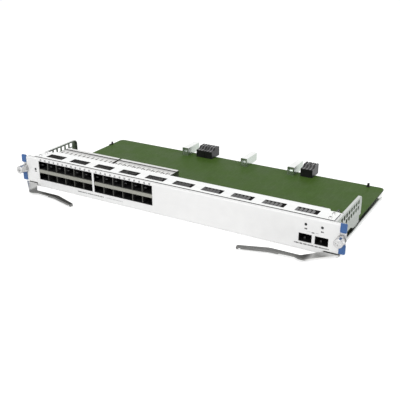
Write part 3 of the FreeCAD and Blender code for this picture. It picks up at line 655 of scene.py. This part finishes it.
# Its upright faces carry painted shade in a green painted reflection of the board
guide_cast = finish(
    "guide_casting", (0.93, 0.94, 0.93), (0.6, 0.6, 0.6), 0.3, metallic=1.0, grain=1500.0, tone=0.04,
    relief=0.3, wear=0.3, wear_width=0.3 * mm, pattern=upright_shade((0.48, 0.53, 0.48)),
)
clear_moulding = finish(
    "clear_moulding", (0.26, 0.30, 0.24), (0.7, 0.7, 0.7), 0.2, grain=1200.0, tone=0.05, wear=0.1,
    dust=0.0, specular=0.2, clear=0.9,
)
smoked_lens = finish(
    "smoked_lens", (0.015, 0.015, 0.016), (0.05, 0.05, 0.05), 0.15, grain=1200.0, tone=0.2, wear=0.0,
    dust=0.0,
)
pale_lens = finish(
    "pale_lens", (0.62, 0.63, 0.62), (0.7, 0.7, 0.7), 0.25, grain=1200.0, tone=0.08, wear=0.0, dust=0.0,
)
grey_ink = finish(
    "grey_ink", (0.14, 0.14, 0.14), (0.3, 0.3, 0.3), 0.6, grain=3000.0, tone=0.15, wear=0.0, dust=0.0,
)
gold_contact = finish(
    "gold_contact", (0.70, 0.52, 0.22), (0.8, 0.62, 0.3), 0.28, metallic=1.0, grain=3000.0, tone=0.1,
    wear=0.0, dust=0.0,
)
# Painted shade: the tabs' metal coloured dark grey for the shade inside the ports
tab_shade_grey = finish(
    "tab_shade_grey", (0.10, 0.10, 0.10), (0.2, 0.2, 0.2), 0.5, metallic=0.2, grain=3000.0, tone=0.06,
    wear=0.0, dust=0.0,
)

finish_of = {
    "front_panel": panel_paint,
    "vent_shelf": shelf_sheet,
    "shelf_screws": turned_steel,
    "seam_gasket": foam,
    "bottom_tray": plated_sheet,
    "board_standoffs": turned_steel,
    "main_board": board_laminate,
    "uplink_sockets": socket_plastic,
    "light_pipes": clear_moulding,
    "board_post": clip_plastic,
    "edge_clip": clip_plastic,
}
for side in sides:
    finish_of[f"side_plate_{side}"] = side_sheet
    finish_of[f"ear_bracket_{side}"] = ear_sheet
    finish_of[f"ear_cover_lower_{side}"] = ear_plastic
    finish_of[f"ear_cover_upper_{side}"] = ear_plastic
    finish_of[f"ferrule_{side}"] = bush_steel
    finish_of[f"thumbscrew_{side}"] = turned_steel
    finish_of[f"screw_clip_{side}"] = spring_wire
    finish_of[f"screw_spring_{side}"] = spring_wire
    finish_of[f"lever_{side}"] = lever_steel
    finish_of[f"lever_pin_{side}"] = turned_steel
for letter in "ab":
    finish_of[f"port_cage_{letter}"] = cage_sheet
    finish_of[f"cage_rear_cover_{letter}"] = cage_sheet
    finish_of[f"cage_base_{letter}"] = cage_lining
    finish_of[f"row_separator_{letter}"] = band_shade
    finish_of[f"cage_dividers_{letter}"] = divider_shade
    finish_of[f"host_sockets_{letter}"] = socket_plastic
    finish_of[f"uplink_cage_{letter}"] = cage_lining
for letter in "abc":
    finish_of[f"guide_block_{letter}"] = guide_cast
    finish_of[f"backplane_connector_{letter}"] = connector_plastic
for name, node in nodes.items():
    node.data.materials.clear()
    node.data.materials.append(finish_of[name])


# Small parts


def put(piece, body):
    """Puts a finished piece on its body."""
    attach(piece, body)


def smooth(mesh):
    """Smooth shading with sharp corners kept."""
    sharp_from = 35.0
    mesh.polygons.foreach_set("use_smooth", [True] * len(mesh.polygons))
    mesh.set_sharp_from_angle(angle=math.radians(sharp_from))


def piece_of(name, mesh, material=None):
    """An object at the origin that shows the mesh."""
    if material:
        mesh.materials.clear()
        mesh.materials.append(material)
    piece = bpy.data.objects.new(name, mesh)
    bpy.context.scene.collection.objects.link(piece)
    return piece


def point_tree(name, inputs):
    """An empty geometry tree that takes points and named sizes."""
    tree = bpy.data.node_groups.new(name, "GeometryNodeTree")
    tree.interface.new_socket(name="Points", in_out="INPUT", socket_type="NodeSocketGeometry")
    for label, kind, value in inputs:
        socket = tree.interface.new_socket(name=label, in_out="INPUT", socket_type=kind)
        if value is not None:
            socket.default_value = value
    tree.interface.new_socket(name="Mesh", in_out="OUTPUT", socket_type="NodeSocketGeometry")
    return tree, add(tree, "NodeGroupInput").outputs


def repeat(tree, given, unit):
    """Ends a tree: the unit on every point, made one plain mesh with its finish."""
    copies = add(tree, "GeometryNodeInstanceOnPoints", Points=given["Points"], Instance=unit)
    plain = add(tree, "GeometryNodeRealizeInstances", Geometry=copies.outputs[0])
    coated = add(tree, "GeometryNodeSetMaterial", Geometry=plain.outputs[0], Material=given["Finish"])
    feed(tree, add(tree, "NodeGroupOutput").inputs[0], coated.outputs[0])


def grow(name, tree, points, values):
    """Runs a tree on points and returns the result as a plain piece."""
    mesh = bpy.data.meshes.new(name + "_points")
    mesh.from_pydata(points, [], [])
    carrier = bpy.data.objects.new(name + "_points", mesh)
    bpy.context.scene.collection.objects.link(carrier)
    modifier = carrier.modifiers.new("grow", "NODES")
    modifier.node_group = tree
    for item in tree.interface.items_tree:
        if item.in_out == "INPUT" and item.name in values:
            modifier[item.identifier] = values[item.name]
    shown = carrier.evaluated_get(bpy.context.evaluated_depsgraph_get())
    result = bpy.data.meshes.new_from_object(shown)
    carrier.modifiers.remove(modifier)
    bpy.data.objects.remove(carrier)
    smooth(result)
    return piece_of(name, result)


def stud_tree():
    """A short round stud or lens along Y, narrower at its front."""
    tree, given = point_tree("stud", [
        ("Front Radius", "NodeSocketFloat", mm), ("Rear Radius", "NodeSocketFloat", mm),
        ("Length", "NodeSocketFloat", mm), ("Turn", "NodeSocketRotation", None),
        ("Finish", "NodeSocketMaterial", None),
    ])
    cone = add(tree, "GeometryNodeMeshCone", Vertices=20, Radius_Top=given["Front Radius"],
               Radius_Bottom=given["Rear Radius"], Depth=given["Length"])
    unit = add(tree, "GeometryNodeTransform", Geometry=cone.outputs[0], Rotation=given["Turn"])
    repeat(tree, given, unit.outputs[0])
    return tree


def ring_tree():
    """A thin round ring in the plane of the panel."""
    tree, given = point_tree("ring", [
        ("Radius", "NodeSocketFloat", mm), ("Wire", "NodeSocketFloat", 0.1 * mm),
        ("Finish", "NodeSocketMaterial", None),
    ])
    path = add(tree, "GeometryNodeCurvePrimitiveCircle", Resolution=24, Radius=given["Radius"])
    wire = add(tree, "GeometryNodeCurvePrimitiveCircle", Resolution=6, Radius=given["Wire"])
    swept = add(tree, "GeometryNodeCurveToMesh", Curve=path.outputs[0], Profile_Curve=wire.outputs[0])
    upright = (math.pi / 2, 0.0, 0.0)
    unit = add(tree, "GeometryNodeTransform", Geometry=swept.outputs[0], Rotation=upright)
    repeat(tree, given, unit.outputs[0])
    return tree


def block_row_tree():
    """A row of small blocks, such as contacts or tabs."""
    tree, given = point_tree("block_row", [
        ("Size", "NodeSocketVector", (mm, mm, mm)), ("Count", "NodeSocketInt", 1),
        ("Step", "NodeSocketVector", (mm, 0.0, 0.0)), ("Finish", "NodeSocketMaterial", None),
    ])
    cube = add(tree, "GeometryNodeMeshCube", Size=given["Size"])
    line = add(tree, "GeometryNodeMeshLine", Count=given["Count"], Offset=given["Step"])
    row = add(tree, "GeometryNodeInstanceOnPoints", Points=line.outputs[0], Instance=cube.outputs[0])
    repeat(tree, given, row.outputs[0])
    return tree


def coil_tree():
    """A coil of round wire along Y."""
    tree, given = point_tree("coil", [
        ("Radius", "NodeSocketFloat", 3.0 * mm), ("Length", "NodeSocketFloat", 4.0 * mm),
        ("Turns", "NodeSocketFloat", 3.0), ("Wire", "NodeSocketFloat", 0.3 * mm),
        ("Finish", "NodeSocketMaterial", None),
    ])
    path = add(tree, "GeometryNodeCurveSpiral", Resolution=28, Rotations=given["Turns"],
               Start_Radius=given["Radius"], End_Radius=given["Radius"], Height=given["Length"])
    wire = add(tree, "GeometryNodeCurvePrimitiveCircle", Resolution=10, Radius=given["Wire"])
    swept = add(tree, "GeometryNodeCurveToMesh", Curve=path.outputs[0], Profile_Curve=wire.outputs[0])
    swept.inputs["Fill Caps"].default_value = True
    along_y = (-math.pi / 2, 0.0, 0.0)
    unit = add(tree, "GeometryNodeTransform", Geometry=swept.outputs[0], Rotation=along_y)
    repeat(tree, given, unit.outputs[0])
    return tree


def screw_head_tree():
    """A flat-topped screw head with a cross recess, standing up from its point."""
    tree, given = point_tree("screw_head", [
        ("Radius", "NodeSocketFloat", 2.3 * mm), ("Height", "NodeSocketFloat", 1.2 * mm),
        ("Finish", "NodeSocketMaterial", None),
    ])
    radius = given["Radius"]
    height = given["Height"]
    crown_share = 0.74
    arm_length = 1.15
    arm_width = 0.24
    crown = times(tree, radius, crown_share)
    head = add(tree, "GeometryNodeMeshCone", Vertices=32, Radius_Top=crown, Radius_Bottom=radius,
               Depth=height)
    cut = add(tree, "GeometryNodeMeshBoolean", {"operation": "DIFFERENCE"})
    feed(tree, cut.inputs["Mesh 1"], head.outputs[0])
    lift = add(tree, "ShaderNodeCombineXYZ", Z=height).outputs[0]
    for across, along in ((arm_length, arm_width), (arm_width, arm_length)):
        width = times(tree, radius, across)
        depth = times(tree, radius, along)
        size = add(tree, "ShaderNodeCombineXYZ", X=width, Y=depth, Z=height)
        bar = add(tree, "GeometryNodeMeshCube", Size=size.outputs[0])
        arm = add(tree, "GeometryNodeTransform", Geometry=bar.outputs[0], Translation=lift)
        tree.links.new(arm.outputs[0], cut.inputs["Mesh 2"])
    repeat(tree, given, cut.outputs[0])
    return tree


def turned(name, profile, centre, shape):
    """A closed turned piece along Y, from (radius, y) points that start and end on the axis.

    shape(radius, y, angle) gives the radius at an angle, for knurls and threads.
    """
    steps = 96
    bm = bmesh.new()
    rings = []
    for radius, y in profile:
        if radius == 0:
            rings.append([bm.verts.new((centre.x, y, centre.z))])
            continue
        ring = []
        for i in range(steps):
            angle = 2 * math.pi * i / steps
            r = shape(radius, y, angle)
            ring.append(bm.verts.new((centre.x + r * math.cos(angle), y, centre.z + r * math.sin(angle))))
        rings.append(ring)
    for near, far in zip(rings, rings[1:]):
        for i in range(steps):
            after = (i + 1) % steps
            corners = [near[i % len(near)], near[after % len(near)]]
            corners += [far[after % len(far)], far[i % len(far)]]
            kept = list(dict.fromkeys(corners))
            if len(kept) > 2:
                bm.faces.new(kept)
    bmesh.ops.recalc_face_normals(bm, faces=bm.faces)
    mesh = bpy.data.meshes.new(name)
    bm.to_mesh(mesh)
    bm.free()
    return mesh


def carved(mesh, cutters):
    """The mesh with boxes cut away, each given by two corners."""
    target = piece_of("carving", mesh)
    tools = []
    for low, high in cutters:
        bm = bmesh.new()
        bmesh.ops.create_cube(bm, size=1.0)
        for vert in bm.verts:
            vert.co = Vector([low[i] + (high[i] - low[i]) * (vert.co[i] + 0.5) for i in range(3)])
        tool = bpy.data.meshes.new("cutter")
        bm.to_mesh(tool)
        bm.free()
        tools.append(piece_of("cutter", tool))
        modifier = target.modifiers.new("cut", "BOOLEAN")
        modifier.operation = "DIFFERENCE"
        modifier.solver = "EXACT"
        modifier.object = tools[-1]
    shown = target.evaluated_get(bpy.context.evaluated_depsgraph_get())
    result = bpy.data.meshes.new_from_object(shown)
    for thing in [target] + tools:
        bpy.data.objects.remove(thing)
    return result


studs = stud_tree()
ring_wires = ring_tree()
block_rows = block_row_tree()
coils = coil_tree()
screw_heads = screw_head_tree()


def add_lenses(name, places, material, front, rear, length):
    """Round lenses that face the front, one at each place."""
    lenses = grow(name, studs, places, {
        "Front Radius": front, "Rear Radius": rear, "Length": length,
        "Turn": (math.pi / 2, 0.0, 0.0), "Finish": material,
    })
    put(lenses, "card")


def add_rings(name, places, material, radius):
    """Thin dark rings round lenses, one at each place."""
    wire = 0.28 * mm
    rings = grow(name, ring_wires, places, {"Radius": radius, "Wire": wire, "Finish": material})
    put(rings, "card")


def add_blocks(name, places, material, size, count=1, step=(0.0, 0.0, 0.0)):
    """Small blocks, one at each place or a row of them from it."""
    blocks = grow(name, block_rows, places, {
        "Size": size, "Count": count, "Step": step, "Finish": material,
    })
    put(blocks, "card")


def make_port_lamps():
    """Two small lamp lenses over every column of ports, each in a dark ring."""
    spread = 3.55 * mm
    height = (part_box("port_cage_a")[1].z + panel_top) / 2 + 0.35 * mm
    places = [(x + step, 0.0, height) for x in column_middles for step in (-spread, spread)]
    add_lenses("port_lamps", places, pale_lens, front=0.55 * mm, rear=0.75 * mm, length=0.3 * mm)
    add_rings("port_lamp_rings", places, grey_ink, radius=0.95 * mm)


def make_lamp_lenses():
    """Smoked lenses in the panel's three lamp holes, and a dark ring round the status lamp."""
    length = 0.6 * mm
    lens_y = 0.35 * mm
    places = [(x, lens_y, uplink_lamp_z) for x in uplink_middles]
    add_lenses("uplink_lamp_lenses", places, smoked_lens, front=1.45 * mm, rear=1.55 * mm, length=length)
    places = [(status_x, lens_y, status_z)]
    add_lenses("status_lamp_lens", places, smoked_lens, front=0.8 * mm, rear=1.0 * mm, length=length)
    places = [(status_x, 0.0, status_z)]
    add_rings("status_lamp_ring", places, smoked_lens, radius=1.35 * mm)


def make_port_fittings():
    """What shows inside the ports: earthing tabs, latches, and the sockets' noses with their contacts."""
    half = (port_middles[0][1] - port_middles[0][0]) / 2
    floors = (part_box("cage_base_a")[1].z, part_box("row_separator_a")[1].z)
    tab = (3.0 * mm, 1.2 * mm, 0.9 * mm)
    tab_y = 5.0 * mm
    tab_z = floors[1] + 5.0 * mm
    places = [(x - half + 0.35 * mm + tab[0] / 2, tab_y, tab_z) for x in column_middles]
    add_blocks("port_ground_tabs", places, tab_shade_grey, tab)
    latch = (1.6 * mm, 1.6 * mm, 2.0 * mm)
    latch_y = 8.0 * mm
    latch_z = 9.9 * mm + latch[2] / 2
    places = [(x - 3.0 * mm, latch_y, latch_z) for x in uplink_middles]
    add_blocks("uplink_latch_tabs", places, tab_shade_grey, latch)
    nose = (11.0 * mm, 8.0 * mm, 3.0 * mm)
    nose_lift = 3.2 * mm
    uplink_nose_z = 13.9 * mm
    nose_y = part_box("host_sockets_a")[0].y - nose[1] / 2
    places = [(x, nose_y, floor + nose_lift + nose[2] / 2) for floor in floors for x in column_middles]
    uplink_nose_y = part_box("uplink_sockets")[0].y - nose[1] / 2
    places += [(x, uplink_nose_y, uplink_nose_z) for x in uplink_middles]
    add_blocks("socket_noses", places, socket_plastic, nose)
    count = 10
    spacing = 0.8 * mm
    pin = (0.35 * mm, 6.0 * mm, 0.1 * mm)
    lines = [(x - spacing * (count - 1) / 2, y, z + nose[2] / 2 + pin[2] / 4) for x, y, z in places]
    step = (spacing, 0.0, 0.0)
    add_blocks("socket_contacts", lines, gold_contact, pin, count, step)


def make_backplane_contacts():
    """Contacts inside the rear connectors, two rows of them in each of two mating slots."""
    pin = (0.4 * mm, 7.0 * mm, 0.3 * mm)
    pin_depth = 4.4 * mm
    pin_spacing = 1.2 * mm
    row_lift = 0.55 * mm
    end_wall = 2.2 * mm
    slots = 2
    skin = 0.8 * mm
    for letter in "abc":
        low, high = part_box(f"backplane_connector_{letter}")
        width = high.x - low.x - 2 * end_wall
        count = round(width / pin_spacing)
        clear = high.z - 2 * skin - low.z - 2 * skin
        lines = []
        for i in range(slots):
            z = low.z + skin + (i + 0.5) * clear / slots
            for lift in (-row_lift, row_lift):
                lines.append((low.x + end_wall, high.y - pin_depth, z + lift))
        step = (width / (count - 1), 0.0, 0.0)
        add_blocks(f"backplane_contacts_{letter}", lines, gold_contact, pin, count, step)


def make_shelf_screws():
    """Screw heads with a cross recess in place of the frame's plain ones."""
    low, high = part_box("shelf_screws")
    radius = 2.3 * mm
    places = []
    for x in (low.x + radius, high.x - radius):
        for y in (low.y + radius, high.y - radius):
            places.append((x, y, low.z))
    heads = grow("shelf_screw_heads", screw_heads, places, {
        "Radius": radius, "Height": high.z - low.z, "Finish": bush_steel,
    })
    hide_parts("shelf_screws")
    put(heads, "card")


def make_vent_shade_sheets():
    """Thin black sheets under the vents, painted shade that hides what lies below them."""
    overlap_x = 1.6 * mm
    overlap_y = 1.2 * mm
    thickness = 0.4 * mm
    gap = 0.02 * mm
    size = (vent_width + overlap_x, vent_rear - vent_front + overlap_y, thickness)
    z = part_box("vent_shelf")[0].z - gap - thickness / 2
    places = [(vent_left + vent_width / 2, (vent_front + vent_rear) / 2, z)]
    add_blocks("vent_shade_sheets", places, vent_shade_sheet, size, vents, (vent_pitch, 0.0, 0.0))


def make_springs():
    """Round wire springs in the knobs."""
    wire = 0.25 * mm
    for side in sides:
        low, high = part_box(f"screw_spring_{side}")
        centre = ((low.x + high.x) / 2, low.y + wire, (low.z + high.z) / 2)
        coil = grow(f"coil_spring_{side}", coils, [centre], {
            "Radius": (high.x - low.x) / 2 - wire, "Length": high.y - low.y - 2 * wire, "Turns": 3.5,
            "Wire": wire, "Finish": spring_wire,
        })
        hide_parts(f"screw_spring_{side}")
        put(coil, "card")
        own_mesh(coil)


def make_knob(side):
    """A knurled knob with a cross recess, turned in one with its threaded shank."""
    low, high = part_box(f"thumbscrew_{side}")
    centre = Vector(((low.x + high.x) / 2, 0.0, (low.z + high.z) / 2))
    rim = (high.x - low.x) / 2
    front = low.y
    edge = 0.35 * mm
    mouth = front + 6.8 * mm
    floor = front + 1.8 * mm
    cup = 4.3 * mm
    shank = 2.0 * mm
    groove = 1.65 * mm
    groove_front = 3.05 * mm
    groove_rear = 4.15 * mm
    knurl_front = front + 1.6 * mm
    knurl_rear = mouth - 1.0 * mm
    knurl_end = 0.3 * mm
    knurl_depth = 0.16 * mm
    knurls = 48
    thread_front = 4.3 * mm
    thread_rear = high.y - 0.5 * mm
    thread_pitch = 0.7 * mm
    thread_depth = 0.3 * mm
    thread_steps = 44

    def shape(radius, y, angle):
        if radius > 0.98 * rim and knurl_front <= y <= knurl_rear:
            return radius - knurl_depth * abs(math.sin(knurls / 2 * angle))
        if abs(radius - shank) < 0.01 * mm and thread_front <= y <= thread_rear:
            turn = (y / thread_pitch - angle / (2 * math.pi)) % 1.0
            return radius - thread_depth * abs(2 * turn - 1)
        return radius

    profile = [
        (0, front), (rim - edge * 1.6, front), (rim - edge * 0.8, front + edge * 0.3),
        (rim, front + edge), (rim, knurl_front - knurl_end), (rim, knurl_front),
        (rim, knurl_rear), (rim, knurl_rear + knurl_end), (rim, mouth - edge),
        (rim - edge, mouth), (cup, mouth), (cup, floor), (shank, floor),
        (shank, groove_front), (groove, groove_front), (groove, groove_rear), (shank, groove_rear),
    ]
    for i in range(thread_steps + 1):
        profile.append((shank, thread_front + (thread_rear - thread_front) * i / thread_steps))
    profile += [(shank - 0.45 * mm, high.y), (0, high.y)]
    long_arm = 2.6 * mm
    short_arm = 0.5 * mm
    depth = 1.0 * mm
    cuts = []
    for across, up in ((long_arm, short_arm), (short_arm, long_arm)):
        cuts.append((
            (centre.x - across, front - mm, centre.z - up),
            (centre.x + across, front + depth, centre.z + up),
        ))
    mesh = carved(turned(f"knob_{side}", profile, centre, shape), cuts)
    smooth(mesh)
    knob = piece_of(f"knob_{side}", mesh, knob_steel)
    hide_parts(f"thumbscrew_{side}")
    put(knob, f"thumbscrew_{side}")


make_port_lamps()
make_lamp_lenses()
make_port_fittings()
make_backplane_contacts()
make_shelf_screws()
make_vent_shade_sheets()
make_springs()
for side in sides:
    make_knob(side)


# Floor, light and camera


def seen_directly(tree):
    """1 for what the camera, a reflection or a clear part sees, and 0 for light that falls on things."""
    rays = add(tree, "ShaderNodeLightPath").outputs
    seen = calc(tree, "MAXIMUM", rays["Is Camera Ray"], rays["Is Glossy Ray"])
    return calc(tree, "MAXIMUM", seen, rays["Is Transmission Ray"])


def make_floor():
    """A plain pale floor that keeps the card's shadow."""
    reach = 3.0
    z = cad_box[0][2] - 0.1 * mm
    mesh = bpy.data.meshes.new("floor")
    corners = [(-reach, -reach, z), (reach, -reach, z), (reach, reach, z), (-reach, reach, z)]
    mesh.from_pydata(corners, [], [(0, 1, 2, 3)])
    material = bpy.data.materials.new("floor")
    tree = blank_tree(material)
    shader = add(tree, "ShaderNodeBsdfPrincipled", Roughness=0.9)
    shader.inputs["Base Color"].default_value = (0.72, 0.72, 0.72, 1.0)
    shader.inputs["Specular IOR Level"].default_value = 0.0
    glow = add(tree, "ShaderNodeEmission", Strength=times(tree, seen_directly(tree), 0.6))
    both = add(tree, "ShaderNodeAddShader")
    tree.links.new(shader.outputs[0], both.inputs[0])
    tree.links.new(glow.outputs[0], both.inputs[1])
    tree.links.new(both.outputs[0], add(tree, "ShaderNodeOutputMaterial").inputs["Surface"])
    piece_of("floor", mesh, material)


def make_world(ambient):
    """White to look at, and a softer even light on the card."""
    world = bpy.data.worlds.new("studio")
    tree = blank_tree(world)
    strength = ramp(tree, seen_directly(tree), 0.0, 1.0, ambient, 1.0)
    light = add(tree, "ShaderNodeBackground", Color=(1.0, 1.0, 1.0, 1.0), Strength=strength)
    tree.links.new(light.outputs[0], add(tree, "ShaderNodeOutputWorld").inputs["Surface"])
    bpy.context.scene.world = world


def make_lamp(name, place, size, power):
    """A soft square lamp that faces the card."""
    card_middle = Vector((0.0, 0.08, 0.02))
    light = bpy.data.lights.new(name, "AREA")
    light.size = size
    light.energy = power
    lamp = bpy.data.objects.new(name, light)
    lamp.location = place
    lamp.rotation_euler = (card_middle - Vector(place)).to_track_quat("-Z", "Y").to_euler()
    bpy.context.scene.collection.objects.link(lamp)


def make_camera():
    """The photograph's viewpoint, found from the edges of the panel, the board and the ports in it."""
    below_level = 22.863
    turned_left = 29.805
    lens = bpy.data.cameras.new("camera")
    lens.lens = 61.09
    lens.sensor_width = 36.0
    camera = bpy.data.objects.new("camera", lens)
    camera.location = (0.39628, -0.60808, 0.32635)
    camera.rotation_euler = (math.radians(90 - below_level), 0.0, math.radians(turned_left))
    bpy.context.scene.collection.objects.link(camera)
    bpy.context.scene.camera = camera


make_floor()
make_world(ambient=0.55)
make_lamp("lamp_above", (0.3, -0.3, 1.3), size=1.2, power=6.0)
make_lamp("lamp_front", (-0.1, -1.2, 0.5), size=0.9, power=6.2)
make_lamp("lamp_right", (1.3, 0.2, 0.6), size=0.8, power=3.0)
make_camera()
bpy.context.scene.view_settings.view_transform = "Standard"
